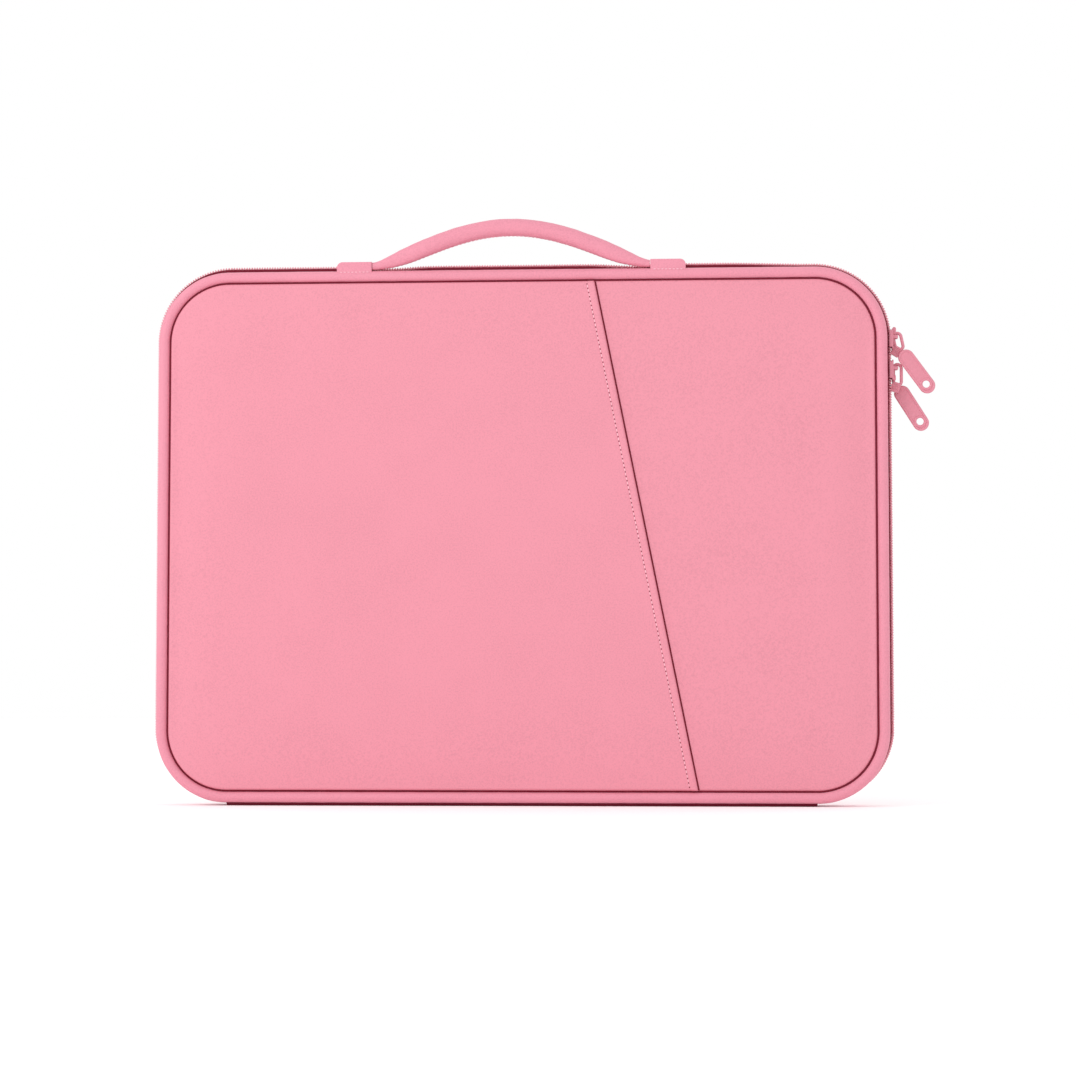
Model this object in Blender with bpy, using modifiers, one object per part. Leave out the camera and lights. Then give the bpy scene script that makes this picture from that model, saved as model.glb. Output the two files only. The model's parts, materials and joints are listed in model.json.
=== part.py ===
"""Padded laptop sleeve with a zipped lid, a roll handle and two zip pulls.

The sleeve stands upright on its bottom spine, with +Z up, +X to the right and
its front face toward -Y. The origin is the centre of the bottom face. The
front shell is a lid, hinged along its bottom edge to the rear shell, and the
zip runs round the top and both sides between them.
"""

import math

import bmesh
import bpy
from mathutils import Matrix, Vector

MM = 0.001
GAP = 0.3 * MM  # left between pieces that touch

# Body outline, seen from the front
WIDTH = 360 * MM
TOP = 264 * MM
SHELL_BOTTOM = 1.3 * MM  # lowest edge of both shells, just above the spine
CORNER_RADIUS = 35.5 * MM
CORNER_STEPS = 8
SIDE = WIDTH / 2
CORNER_X = SIDE - CORNER_RADIUS
UPPER_CORNER_Z = TOP - CORNER_RADIUS
LOWER_CORNER_Z = SHELL_BOTTOM + CORNER_RADIUS

# Depths, front to back
FRONT_FACE = -14 * MM
BACK_FACE = 14 * MM
PIPING_RADIUS = 2.75 * MM
PIPING_INSET = 2.85 * MM  # outline to the middle of the piping
PANEL_INSET = 5.9 * MM
LINING_INSET = 3.2 * MM
WALL_INSET = 4.4 * MM  # inner face of the padded wall inside the gusset
SPINE_THICKNESS = 1.0 * MM

# Zip chain, whose middle runs round the sleeve just behind the front piping
CHAIN_Y = -5 * MM
CHAIN_SPLIT = 1.0 * MM  # between the two rows, where the slider's post runs
TOOTH_ROW_DEPTH = 2.2 * MM
TOOTH_LOW = -0.2 * MM
TOOTH_TOP = 1.5 * MM
TAPE_LOW = -1.1 * MM
TAPE_TOP = -0.5 * MM

# Pocket edge on the front, from the top seam to the bottom one
POCKET_TOP_X = 36.4 * MM
POCKET_BOTTOM_X = 87.2 * MM
POCKET_TOP_Z = 259 * MM
POCKET_BOTTOM_Z = 6 * MM

# Handle
HANDLE_AXIS_Y = -11.2 * MM
HANDLE_AXIS_Z = 266.2 * MM
HANDLE_LEFT = -73.6 * MM  # mouth of the left tab
HANDLE_RIGHT = 64.2 * MM  # mouth of the right tab
HANDLE_RISE = 18.1 * MM
HANDLE_RADIUS = 4.45 * MM
HANDLE_BOW_POWER = 1.7
HANDLE_END_RADIUS = 1.6 * MM
HANDLE_SWELL = 0.33  # how fast the roll thickens as it rises
HANDLE_SKIN = 0.9 * MM
HANDLE_STEPS = 26
JOURNAL_RADIUS = 0.9 * MM
JOURNAL_LENGTH = 13 * MM
TAB_LENGTH = 17.4 * MM
TAB_DEPTH = 3.4 * MM
TAB_BASE = 264.25 * MM
TAB_TOP = 268.2 * MM

# Sliders, both on the right side
UPPER_SLIDER_Z = UPPER_CORNER_Z
LOWER_SLIDER_Z = 213.1 * MM
SLIDER_LENGTH = 9.8 * MM
SLIDER_WIDTH = 7.4 * MM
SLIDER_BASE_WIDTH = 5.6 * MM
PLATE_LOW = 1.75 * MM
PLATE_TOP = 2.35 * MM
BASE_LOW = -2.6 * MM
BASE_TOP = -1.9 * MM
POST_THICKNESS = 0.5 * MM
POST_LENGTH = 2.4 * MM
POST_OFFSET = 3.0 * MM
BRIDGE_RISE = 1.0 * MM  # bridge above the slider's middle
BRIDGE_INNER = 3.4 * MM
BRIDGE_WALL = 0.8 * MM
BRIDGE_BAR = 0.7 * MM
BRIDGE_LENGTH = 1.6 * MM

# Pull rings, clips and tabs
RING_PIVOT = 5.05 * MM  # outline to the middle of the bridge's bar
RING_BEND = 1.9 * MM  # to the middle of the wire
UPPER_RING_STRAIGHT = 4.6 * MM
LOWER_RING_STRAIGHT = 6.6 * MM
WIRE_RADIUS = 0.6 * MM
UPPER_RING_TILT = 12
LOWER_RING_TILT = 0
CLIP_BORE = 0.85 * MM
CLIP_START = 0.7 * MM
CLIP_END = 4.8 * MM
CLIP_WIDTH = 3.2 * MM
CLIP_DEPTH = 3.1 * MM
UPPER_CLIP_ANGLE = 30
LOWER_CLIP_ANGLE = 20
PULL_LENGTH = 24.7 * MM
PULL_WIDTH = 7.6 * MM
PULL_DEPTH = 1.9 * MM
PULL_ALONG = 1.65 * MM
PULL_ASIDE = 0.9 * MM
PULL_HOLE_RADIUS = 2.0 * MM
PULL_HOLE_FROM_END = 4.6 * MM
UPPER_PULL_ANGLE = 36
LOWER_PULL_ANGLE = 32

# Hinge of the lid, at the front bottom edge
LID_HINGE = Vector((0, FRONT_FACE, SPINE_THICKNESS))

COLOURS = {
    "leather": ((0.93, 0.38, 0.47, 1), 0.55, 0.0),
    "piping_leather": ((0.92, 0.36, 0.46, 1), 0.5, 0.0),
    "lining": ((0.86, 0.50, 0.56, 1), 0.95, 0.0),
    "foam": ((0.86, 0.85, 0.83, 1), 0.9, 0.0),
    "zip_tape": ((0.80, 0.26, 0.36, 1), 0.9, 0.0),
    "zip_coil": ((0.84, 0.30, 0.40, 1), 0.4, 0.0),
    "pull_paint": ((0.86, 0.32, 0.41, 1), 0.45, 0.0),
}


# ---------------------------------------------------------------- scene tools

def clear_scene():
    for obj in list(bpy.data.objects):
        bpy.data.objects.remove(obj, do_unlink=True)


def new_collection(name):
    collection = bpy.data.collections.new(name)
    bpy.context.scene.collection.children.link(collection)
    return collection


def material_for(node, kind):
    colour, roughness, metallic = COLOURS[kind]
    material = bpy.data.materials.new(node)
    material.use_nodes = True
    material.diffuse_color = colour
    shader = material.node_tree.nodes["Principled BSDF"]
    shader.inputs["Base Color"].default_value = colour
    shader.inputs["Roughness"].default_value = roughness
    shader.inputs["Metallic"].default_value = metallic
    return material


def link(obj, kind, pivot=None, collection=None):
    """Put an object in the sleeve's collection, coloured and on its pivot."""
    (collection or PARTS).objects.link(obj)
    if kind:
        obj.data.materials.append(material_for(obj.name, kind))
    if pivot:
        hang_on(obj, pivot)
    return obj


def hang_on(obj, pivot):
    """Parent an object to a pivot, leaving it where it is."""
    obj.parent = pivot
    obj.matrix_parent_inverse = Matrix.Translation(-Vector(pivot["place"]))


def new_pivot(name, place, parent=None):
    pivot = bpy.data.objects.new(name, None)
    pivot.empty_display_size = 5 * MM
    pivot.location = place
    pivot["place"] = tuple(place)
    PARTS.objects.link(pivot)
    if parent:
        hang_on(pivot, parent)
    return pivot


# --------------------------------------------------------------- shape tools

def arc(centre_x, centre_z, radius, start, end, steps=CORNER_STEPS):
    """Points on an arc in the XZ plane, angles in degrees from +X to +Z."""
    turns = [math.radians(start + (end - start) * i / steps) for i in range(steps + 1)]
    return [(centre_x + radius * math.cos(t), centre_z + radius * math.sin(t)) for t in turns]


def rim(outset, first=270, last=-90):
    """The body outline grown by outset, clockwise from the bottom-left corner.

    first and last are the angles at which it leaves the bottom-left corner
    and stops in the bottom-right one; 270 and -90 take in both corners whole.
    """
    radius = CORNER_RADIUS + outset
    return (
        arc(-CORNER_X, LOWER_CORNER_Z, radius, first, 180)
        + arc(-CORNER_X, UPPER_CORNER_Z, radius, 180, 90)
        + arc(CORNER_X, UPPER_CORNER_Z, radius, 90, 0)
        + arc(CORNER_X, LOWER_CORNER_Z, radius, 0, last)
    )


def outline_curve(name, outlines, thickness):
    """A filled flat curve with one cyclic spline for each outline."""
    curve = bpy.data.curves.new(name, "CURVE")
    curve.dimensions = "2D"
    curve.fill_mode = "BOTH"
    curve.extrude = thickness / 2
    for outline in outlines:
        spline = curve.splines.new("POLY")
        spline.points.add(len(outline) - 1)
        for point, (u, v) in zip(spline.points, outline):
            point.co = (u, v, 0, 1)
        spline.use_cyclic_u = True
    return bpy.data.objects.new(name, curve)


def front_plate(name, outlines, front, back, kind, pivot=None):
    """A plate with its outlines in the XZ plane, from depth front to back."""
    plate = outline_curve(name, outlines, back - front)
    plate.rotation_euler = (math.radians(90), 0, 0)
    plate.location = (0, (front + back) / 2, 0)
    return link(plate, kind, pivot)


def split_band(name, low, top, front, back, kind, left_out):
    """A wall round the edge, in straight strips with a bent piece at each corner."""
    corners = {
        "lower_left": (-CORNER_X, LOWER_CORNER_Z, 270, 180),
        "upper_left": (-CORNER_X, UPPER_CORNER_Z, 180, 90),
        "upper_right": (CORNER_X, UPPER_CORNER_Z, 90, 0),
        "lower_right": (CORNER_X, LOWER_CORNER_Z, 0, -90),
    }
    for place, (x, z, start, end) in corners.items():
        outer = arc(x, z, CORNER_RADIUS + top, start, end)
        inner = arc(x, z, CORNER_RADIUS + low, end, start)
        front_plate(name + "_" + place, [outer + inner], front, back, kind)
    low_z = LOWER_CORNER_Z + GAP
    high_z = UPPER_CORNER_Z - GAP
    along = CORNER_X - GAP
    strips = {
        "left": ((-SIDE - top, low_z), (-SIDE - low, high_z)),
        "top": ((-along, TOP + low), (along, TOP + top)),
        "right": ((SIDE + low, low_z), (SIDE + top, high_z)),
        "bottom": ((-along, SHELL_BOTTOM - top), (along, SHELL_BOTTOM - low)),
    }
    for place, ((x1, z1), (x2, z2)) in strips.items():
        if place not in left_out:
            box(name + "_" + place, (x1, front, z1), (x2, back, z2), kind)


def open_band(name, low, top, front, back, kind, pivot=None):
    """A band over the top and both sides that ends halfway round the bottom corners."""
    outline = rim(top, 225, -45) + rim(low, 225, -45)[::-1]
    return front_plate(name, [outline], front, back, kind, pivot)


def tube(name, points, radii, kind, pivot=None, cyclic=False, caps=True, rings=3):
    """A round tube through the points, with a radius at each."""
    curve = bpy.data.curves.new(name, "CURVE")
    curve.dimensions = "3D"
    curve.bevel_depth = 1.0
    curve.bevel_resolution = rings
    curve.use_fill_caps = caps and not cyclic
    spline = curve.splines.new("POLY")
    spline.points.add(len(points) - 1)
    for point, place, radius in zip(spline.points, points, radii):
        point.co = (*place, 1)
        point.radius = radius
    spline.use_cyclic_u = cyclic
    return link(bpy.data.objects.new(name, curve), kind, pivot)


def as_mesh(obj, kind):
    """Turn a curve object into a mesh object with welded caps."""
    bpy.context.view_layer.update()
    evaluated = obj.evaluated_get(bpy.context.evaluated_depsgraph_get())
    mesh = bpy.data.meshes.new_from_object(evaluated)
    place = obj.matrix_world.copy()
    name = obj.name
    bpy.data.objects.remove(obj, do_unlink=True)
    weld(mesh)
    solid = bpy.data.objects.new(name, mesh)
    solid.matrix_world = place
    if not mesh.materials:
        mesh.materials.append(material_for(name, kind))
    PARTS.objects.link(solid)
    return solid


def weld(mesh):
    body = bmesh.new()
    body.from_mesh(mesh)
    bmesh.ops.remove_doubles(body, verts=body.verts, dist=0.001 * MM)
    body.to_mesh(mesh)
    body.free()


def box(name, low, high, kind=None, pivot=None, collection=None):
    """A box between two corners."""
    low = Vector(low)
    high = Vector(high)
    mesh = bpy.data.meshes.new(name)
    body = bmesh.new()
    bmesh.ops.create_cube(body, size=1)
    bmesh.ops.scale(body, vec=high - low, verts=body.verts)
    body.to_mesh(mesh)
    body.free()
    obj = bpy.data.objects.new(name, mesh)
    obj.location = (low + high) / 2
    return link(obj, kind, pivot, collection)


def cut_with(obj, cutter, operation="DIFFERENCE"):
    cutter.hide_render = True
    cutter.display_type = "WIRE"
    boolean = obj.modifiers.new(cutter.name, "BOOLEAN")
    boolean.operation = operation
    boolean.object = cutter
    boolean.solver = "EXACT"


# ---------------------------------------------------------------- the shells

def build_rear_shell():
    """The back, the gusset and everything else that stays with the zip's rear row."""
    front_plate("rear_panel", [rim(-PANEL_INSET)], BACK_FACE - 1.1 * MM, BACK_FACE, "leather")
    front_plate("rear_padding", [rim(-PANEL_INSET)], 8.6 * MM, 12.6 * MM, "foam")
    front_plate("rear_lining", [rim(-WALL_INSET - GAP)], 7.7 * MM, 8.3 * MM, "lining")
    piping("rear_piping", BACK_FACE - GAP - PIPING_RADIUS)
    split_band("gusset", -1.2 * MM, -0.2 * MM, -1.3 * MM, 8.7 * MM, "leather", ("bottom",))
    split_band("gusset_lining", -WALL_INSET, -1.5 * MM, -1.3 * MM, 7.4 * MM, "lining", ())
    row_front = CHAIN_Y + CHAIN_SPLIT / 2
    row_back = row_front + TOOTH_ROW_DEPTH
    open_band("rear_zip_teeth", TOOTH_LOW, TOOTH_TOP, row_front, row_back, "zip_coil")
    open_band("rear_zip_tape", TAPE_LOW, TAPE_TOP, row_front, -1.6 * MM, "zip_tape")
    build_spine()
    for side in (-1, 1):
        build_zip_end_cover(side)


def build_spine():
    """The flat strip under both shells, which the sleeve stands on."""
    half_depth = 13.2 * MM
    box(
        "bottom_spine",
        (-CORNER_X, -half_depth, 0),
        (CORNER_X, half_depth, SPINE_THICKNESS),
        "leather",
    )


def build_zip_end_cover(side):
    """Covers the end of the zip on the lower half of a bottom corner."""
    name = "zip_end_cover_left" if side < 0 else "zip_end_cover_right"
    first, last = (225, 270) if side < 0 else (-45, -90)
    steps = CORNER_STEPS // 2
    outline = (
        arc(side * CORNER_X, LOWER_CORNER_Z, CORNER_RADIUS - 0.1 * MM, first, last, steps)
        + arc(side * CORNER_X, LOWER_CORNER_Z, CORNER_RADIUS - 1.0 * MM, last, first, steps)
    )
    front_plate(name, [outline], -8.4 * MM, -1.6 * MM, "leather")


def piping(name, middle_y, pivot=None):
    points = [(x, middle_y, z) for x, z in rim(-PIPING_INSET)]
    tube(name, points, [PIPING_RADIUS] * len(points), "piping_leather", pivot, cyclic=True)


def build_front_shell(pivot):
    """The lid: panels, padding, lining, piping and the zip's front row."""
    front_plate("front_panel", [rim(-PANEL_INSET)], -13.0 * MM, -12.2 * MM, "leather", pivot)
    front_plate("pocket_panel", [pocket_outline()], FRONT_FACE, -13.3 * MM, "leather", pivot)
    front_plate("front_padding", [rim(-PANEL_INSET)], -11.9 * MM, -8.4 * MM, "foam", pivot)
    front_plate("front_lining", [rim(-LINING_INSET)], -8.1 * MM, -7.5 * MM, "lining", pivot)
    piping("front_piping", FRONT_FACE + PIPING_RADIUS + 0.05 * MM, pivot)
    row_back = CHAIN_Y - CHAIN_SPLIT / 2
    build_front_teeth(row_back - TOOTH_ROW_DEPTH, row_back, pivot)
    open_band("front_zip_tape", TAPE_LOW, TAPE_TOP, -8.7 * MM, row_back, "zip_tape", pivot)


def build_front_teeth(row_front, row_back, pivot):
    """The zip's front row, with the stretch round the top right corner on its own."""
    stretches = {
        "front_zip_teeth_left": teeth_left,
        "front_zip_teeth_corner": teeth_corner,
        "front_zip_teeth_right": teeth_right,
    }
    for name, edge in stretches.items():
        outline = edge(TOOTH_TOP) + edge(TOOTH_LOW)[::-1]
        front_plate(name, [outline], row_front, row_back, "zip_coil", pivot)


def teeth_left(outset):
    """One edge of the row up the left side and along the top."""
    radius = CORNER_RADIUS + outset
    return (
        arc(-CORNER_X, LOWER_CORNER_Z, radius, 225, 180)
        + arc(-CORNER_X, UPPER_CORNER_Z, radius, 180, 90)
        + [(CORNER_X - GAP, TOP + outset)]
    )


def teeth_corner(outset):
    return arc(CORNER_X, UPPER_CORNER_Z, CORNER_RADIUS + outset, 90, 0)


def teeth_right(outset):
    """One edge of the row down the right side."""
    start = (SIDE + outset, UPPER_CORNER_Z - GAP)
    return [start] + arc(CORNER_X, LOWER_CORNER_Z, CORNER_RADIUS + outset, 0, -45)


def pocket_outline():
    """The panel's outline, cut off to the right of the pocket's slanted edge."""
    slope = (POCKET_BOTTOM_X - POCKET_TOP_X) / (POCKET_BOTTOM_Z - POCKET_TOP_Z)
    top = TOP - PANEL_INSET
    bottom = SHELL_BOTTOM + PANEL_INSET
    left = [point for point in rim(-PANEL_INSET) if point[0] < 0]
    return left + [
        (POCKET_TOP_X + slope * (top - POCKET_TOP_Z), top),
        (POCKET_TOP_X + slope * (bottom - POCKET_TOP_Z), bottom),
    ]


# ---------------------------------------------------------------- the handle

def handle_height(x):
    """Height of the roll's middle above the handle's axis."""
    middle = (HANDLE_LEFT + HANDLE_RIGHT) / 2
    reach = (HANDLE_RIGHT - HANDLE_LEFT) / 2
    across = (x - middle) / reach
    return HANDLE_RISE * max(0.0, 1 - across * across) ** HANDLE_BOW_POWER


def build_handle(pivot):
    """A padded roll with a cord inside, and a journal at each end of it."""
    start = HANDLE_LEFT + GAP
    run = HANDLE_RIGHT - HANDLE_LEFT - 2 * GAP
    xs = [start + run * (1 - math.cos(math.pi * i / HANDLE_STEPS)) / 2 for i in range(HANDLE_STEPS + 1)]
    points = [(x, HANDLE_AXIS_Y, HANDLE_AXIS_Z + handle_height(x)) for x in xs]
    radii = [min(HANDLE_RADIUS, HANDLE_END_RADIUS + HANDLE_SWELL * handle_height(x)) for x in xs]
    cover = tube("handle_cover", points, radii, "piping_leather", pivot, caps=False)
    skin = cover.modifiers.new("skin", "SOLIDIFY")
    skin.thickness = HANDLE_SKIN
    skin.offset = -1
    inner = [radius - HANDLE_SKIN - GAP for radius in radii]
    tube("handle_core", points, inner, "foam", pivot)
    for side, mouth in ((-1, HANDLE_LEFT), (1, HANDLE_RIGHT)):
        name = "handle_end_left" if side < 0 else "handle_end_right"
        ends = [(mouth, HANDLE_AXIS_Y, HANDLE_AXIS_Z)]
        ends.append((mouth + side * JOURNAL_LENGTH, HANDLE_AXIS_Y, HANDLE_AXIS_Z))
        tube(name, ends, [JOURNAL_RADIUS] * 2, "piping_leather", pivot)


def build_handle_tab(side, pivot):
    """A flat leather loop on the top edge, which takes one end of the handle."""
    name = "handle_tab_left" if side < 0 else "handle_tab_right"
    mouth = HANDLE_LEFT if side < 0 else HANDLE_RIGHT
    outer = mouth + side * TAB_LENGTH
    bend = 2.6 * MM
    corner = arc(outer - side * bend, TAB_TOP - bend, bend, 90 - side * 90, 90, 6)
    outline = [(mouth, TAB_BASE), (outer, TAB_BASE)] + corner + [(mouth, TAB_TOP)]
    front = HANDLE_AXIS_Y - TAB_DEPTH / 2
    tab = front_plate(name, [outline], front, front + TAB_DEPTH, "leather")
    tab = as_mesh(tab, "leather")
    hang_on(tab, pivot)
    bpy.ops.mesh.primitive_cylinder_add(
        vertices=16,
        radius=JOURNAL_RADIUS + GAP,
        depth=2 * (JOURNAL_LENGTH + 1 * MM),
        location=(mouth, HANDLE_AXIS_Y, HANDLE_AXIS_Z),
        rotation=(0, math.radians(90), 0),
    )
    drill = bpy.context.object
    drill.name = name + "_bore"
    for collection in list(drill.users_collection):
        collection.objects.unlink(drill)
    CUTTERS.objects.link(drill)
    hang_on(drill, pivot)
    cut_with(tab, drill)


# ----------------------------------------------------------------- the pulls

def build_slider(prefix, middle_z, nose, pivot):
    """Two plates round the zip, joined by a post at the nose, and a bridge."""
    half = SLIDER_LENGTH / 2
    body = box(
        prefix + "_slider_body",
        (SIDE + PLATE_LOW, CHAIN_Y - SLIDER_WIDTH / 2, middle_z - half),
        (SIDE + PLATE_TOP, CHAIN_Y + SLIDER_WIDTH / 2, middle_z + half),
        "pull_paint",
        pivot,
    )
    post_z = middle_z + nose * POST_OFFSET
    lap = 0.2 * MM
    post = box(
        prefix + "_slider_post",
        (SIDE + BASE_TOP - lap, CHAIN_Y - POST_THICKNESS / 2, post_z - POST_LENGTH / 2),
        (SIDE + PLATE_LOW + lap, CHAIN_Y + POST_THICKNESS / 2, post_z + POST_LENGTH / 2),
        pivot=pivot,
        collection=CUTTERS,
    )
    base = box(
        prefix + "_slider_base",
        (SIDE + BASE_LOW, CHAIN_Y - SLIDER_BASE_WIDTH / 2, middle_z - half),
        (SIDE + BASE_TOP, CHAIN_Y + SLIDER_BASE_WIDTH / 2, middle_z + half),
        pivot=pivot,
        collection=CUTTERS,
    )
    cut_with(body, post, "UNION")
    cut_with(body, base, "UNION")
    build_bridge(prefix, middle_z + BRIDGE_RISE, pivot)


def build_bridge(prefix, middle_z, pivot):
    """The arch across the slider that the ring hangs from."""
    foot = SIDE + PLATE_TOP + GAP
    crown = SIDE + RING_PIVOT + BRIDGE_BAR / 2
    inner = BRIDGE_INNER / 2
    outer = inner + BRIDGE_WALL
    outline = [
        (foot, CHAIN_Y - outer),
        (crown - 0.5 * MM, CHAIN_Y - outer),
        (crown, CHAIN_Y - outer + 0.5 * MM),
        (crown, CHAIN_Y + outer - 0.5 * MM),
        (crown - 0.5 * MM, CHAIN_Y + outer),
        (foot, CHAIN_Y + outer),
        (foot, CHAIN_Y + inner),
        (crown - BRIDGE_BAR, CHAIN_Y + inner),
        (crown - BRIDGE_BAR, CHAIN_Y - inner),
        (foot, CHAIN_Y - inner),
    ]
    bridge = outline_curve(prefix + "_slider_bridge", [outline], BRIDGE_LENGTH)
    bridge.location = (0, 0, middle_z)
    link(bridge, "pull_paint", pivot)


def build_ring(prefix, hanger, straight, tilt, pivot):
    """A wire loop, its upper bend round the bridge and its lower one in the clip."""
    bend = arc(0, 0, RING_BEND, 180, 0)
    lower = arc(0, -straight, RING_BEND, 0, -180)
    turn = Matrix.Rotation(math.radians(-tilt), 4, "Y")
    points = [hanger + turn @ Vector((x, 0, z)) for x, z in bend + lower]
    radii = [WIRE_RADIUS] * len(points)
    tube(prefix + "_pull_ring", points, radii, "pull_paint", pivot, cyclic=True, rings=2)


def build_clip(prefix, holder, angle, pivot):
    """The block that the ring runs through, turned inward by angle."""
    clip = box(
        prefix + "_pull_clip",
        (-CLIP_WIDTH / 2, -CLIP_DEPTH / 2, -CLIP_END),
        (CLIP_WIDTH / 2, CLIP_DEPTH / 2, -CLIP_START),
        "pull_paint",
    )
    turn = Matrix.Rotation(math.radians(angle), 4, "Y")
    clip.matrix_world = Matrix.Translation(holder) @ turn @ Matrix.Translation(clip.location)
    hang_on(clip, pivot)
    bpy.ops.mesh.primitive_torus_add(
        major_radius=RING_BEND,
        minor_radius=CLIP_BORE,
        major_segments=32,
        minor_segments=12,
        location=holder,
        rotation=(math.radians(90), 0, 0),
    )
    bore = bpy.context.object
    bore.name = prefix + "_clip_bore"
    for collection in list(bore.users_collection):
        collection.objects.unlink(bore)
    CUTTERS.objects.link(bore)
    hang_on(bore, pivot)
    cut_with(clip, bore)


def build_pull_tab(prefix, holder, angle, side, pivot):
    """The flat tab, with round ends and a hole near its free one.

    side is -1 for a tab in front of its clip and 1 for one behind it, so that
    the two tabs pass each other.
    """
    radius = PULL_WIDTH / 2
    upper = arc(0, -radius, radius, 180, 0)
    lower = arc(0, radius - PULL_LENGTH, radius, 0, -180)
    hole = arc(0, PULL_HOLE_FROM_END - PULL_LENGTH, PULL_HOLE_RADIUS, 0, 345, 23)
    tab = outline_curve(prefix + "_pull_tab", [upper + lower, hole], PULL_DEPTH)
    turn = math.radians(angle)
    along = Vector((math.sin(turn), 0, -math.cos(turn)))
    aside = Vector((-math.cos(turn), 0, -math.sin(turn)))
    offset = Vector((0, side * ((CLIP_DEPTH + PULL_DEPTH) / 2 + GAP), 0))
    place = holder + PULL_ALONG * along + PULL_ASIDE * aside + offset
    stand = Matrix.Rotation(math.radians(90), 4, "X")
    tab.matrix_world = Matrix.Translation(place) @ Matrix.Rotation(-turn, 4, "Y") @ stand
    link(tab, "pull_paint")
    hang_on(tab, pivot)


def build_zip_pull(
    prefix, middle_z, nose, track, ring_straight, ring_tilt, clip_angle, pull_angle, pull_side
):
    """A slider on its track, with its ring, clip and tab, each on its own pivot."""
    slider = new_pivot(prefix + "_slider_track", track)
    build_slider(prefix, middle_z, nose, slider)
    hanger = Vector((SIDE + RING_PIVOT, CHAIN_Y, middle_z + BRIDGE_RISE))
    ring = new_pivot(prefix + "_ring_hinge", hanger, slider)
    build_ring(prefix, hanger, ring_straight, ring_tilt, ring)
    lean = math.radians(ring_tilt)
    holder = hanger + ring_straight * Vector((math.sin(lean), 0, -math.cos(lean)))
    pull = new_pivot(prefix + "_pull_hinge", holder, ring)
    build_clip(prefix, holder, clip_angle, pull)
    build_pull_tab(prefix, holder, pull_angle, pull_side, pull)


# ------------------------------------------------------------------ assembly

clear_scene()
PARTS = new_collection("laptop_sleeve")
CUTTERS = new_collection("laptop_sleeve_cutters")

build_rear_shell()

lid_hinge = new_pivot("lid_hinge", LID_HINGE)
build_front_shell(lid_hinge)
for end in (-1, 1):
    build_handle_tab(end, lid_hinge)
handle_hinge = new_pivot("handle_hinge", Vector((0, HANDLE_AXIS_Y, HANDLE_AXIS_Z)), lid_hinge)
build_handle(handle_hinge)

build_zip_pull(
    "upper",
    UPPER_SLIDER_Z,
    nose=-1,
    track=Vector((CORNER_X, CHAIN_Y, UPPER_CORNER_Z)),
    ring_straight=UPPER_RING_STRAIGHT,
    ring_tilt=UPPER_RING_TILT,
    clip_angle=UPPER_CLIP_ANGLE,
    pull_angle=UPPER_PULL_ANGLE,
    pull_side=-1,
)
build_zip_pull(
    "lower",
    LOWER_SLIDER_Z,
    nose=1,
    track=Vector((SIDE, CHAIN_Y, LOWER_SLIDER_Z)),
    ring_straight=LOWER_RING_STRAIGHT,
    ring_tilt=LOWER_RING_TILT,
    clip_angle=LOWER_CLIP_ANGLE,
    pull_angle=LOWER_PULL_ANGLE,
    pull_side=1,
)
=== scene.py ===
"""Looks of the padded laptop sleeve: leather, stitching, zip and enamelled pulls.

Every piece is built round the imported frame, in metres, with the front toward -Y.
Depths along Y and outsets from the body outline follow the frame's own boxes.
"""

import json
import math

import bmesh
import bpy
import numpy as np
from mathutils import Matrix, Vector, noise
from mathutils.bvhtree import BVHTree
from mathutils.geometry import delaunay_2d_cdt


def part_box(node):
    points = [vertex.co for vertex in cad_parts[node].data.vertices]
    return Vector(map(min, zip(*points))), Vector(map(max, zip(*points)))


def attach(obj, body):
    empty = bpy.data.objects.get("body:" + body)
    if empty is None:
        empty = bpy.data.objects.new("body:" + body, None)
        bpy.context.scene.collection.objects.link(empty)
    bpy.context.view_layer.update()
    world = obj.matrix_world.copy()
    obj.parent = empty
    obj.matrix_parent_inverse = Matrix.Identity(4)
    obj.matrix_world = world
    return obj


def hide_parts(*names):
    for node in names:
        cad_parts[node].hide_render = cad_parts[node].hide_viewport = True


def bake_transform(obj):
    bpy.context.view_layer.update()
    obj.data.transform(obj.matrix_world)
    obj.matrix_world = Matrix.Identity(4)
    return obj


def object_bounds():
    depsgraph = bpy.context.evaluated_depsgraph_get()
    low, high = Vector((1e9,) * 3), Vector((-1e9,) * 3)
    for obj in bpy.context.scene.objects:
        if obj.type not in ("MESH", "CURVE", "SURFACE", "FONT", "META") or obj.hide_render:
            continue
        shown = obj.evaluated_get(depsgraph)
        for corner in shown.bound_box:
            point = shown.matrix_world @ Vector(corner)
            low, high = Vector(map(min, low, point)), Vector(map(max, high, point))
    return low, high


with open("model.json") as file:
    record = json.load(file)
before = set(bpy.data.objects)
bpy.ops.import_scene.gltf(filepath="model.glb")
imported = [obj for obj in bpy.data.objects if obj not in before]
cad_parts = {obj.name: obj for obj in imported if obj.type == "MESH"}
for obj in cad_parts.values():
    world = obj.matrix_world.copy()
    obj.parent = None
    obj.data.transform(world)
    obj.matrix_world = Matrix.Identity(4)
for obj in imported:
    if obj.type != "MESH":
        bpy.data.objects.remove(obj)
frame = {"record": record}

MM = 0.001
FORWARD = Vector((0, -1, 0))
CAD_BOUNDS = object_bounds()
JOINTS = {joint["name"]: joint for joint in frame["record"]["behaviour"]["joints"]}

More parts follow.
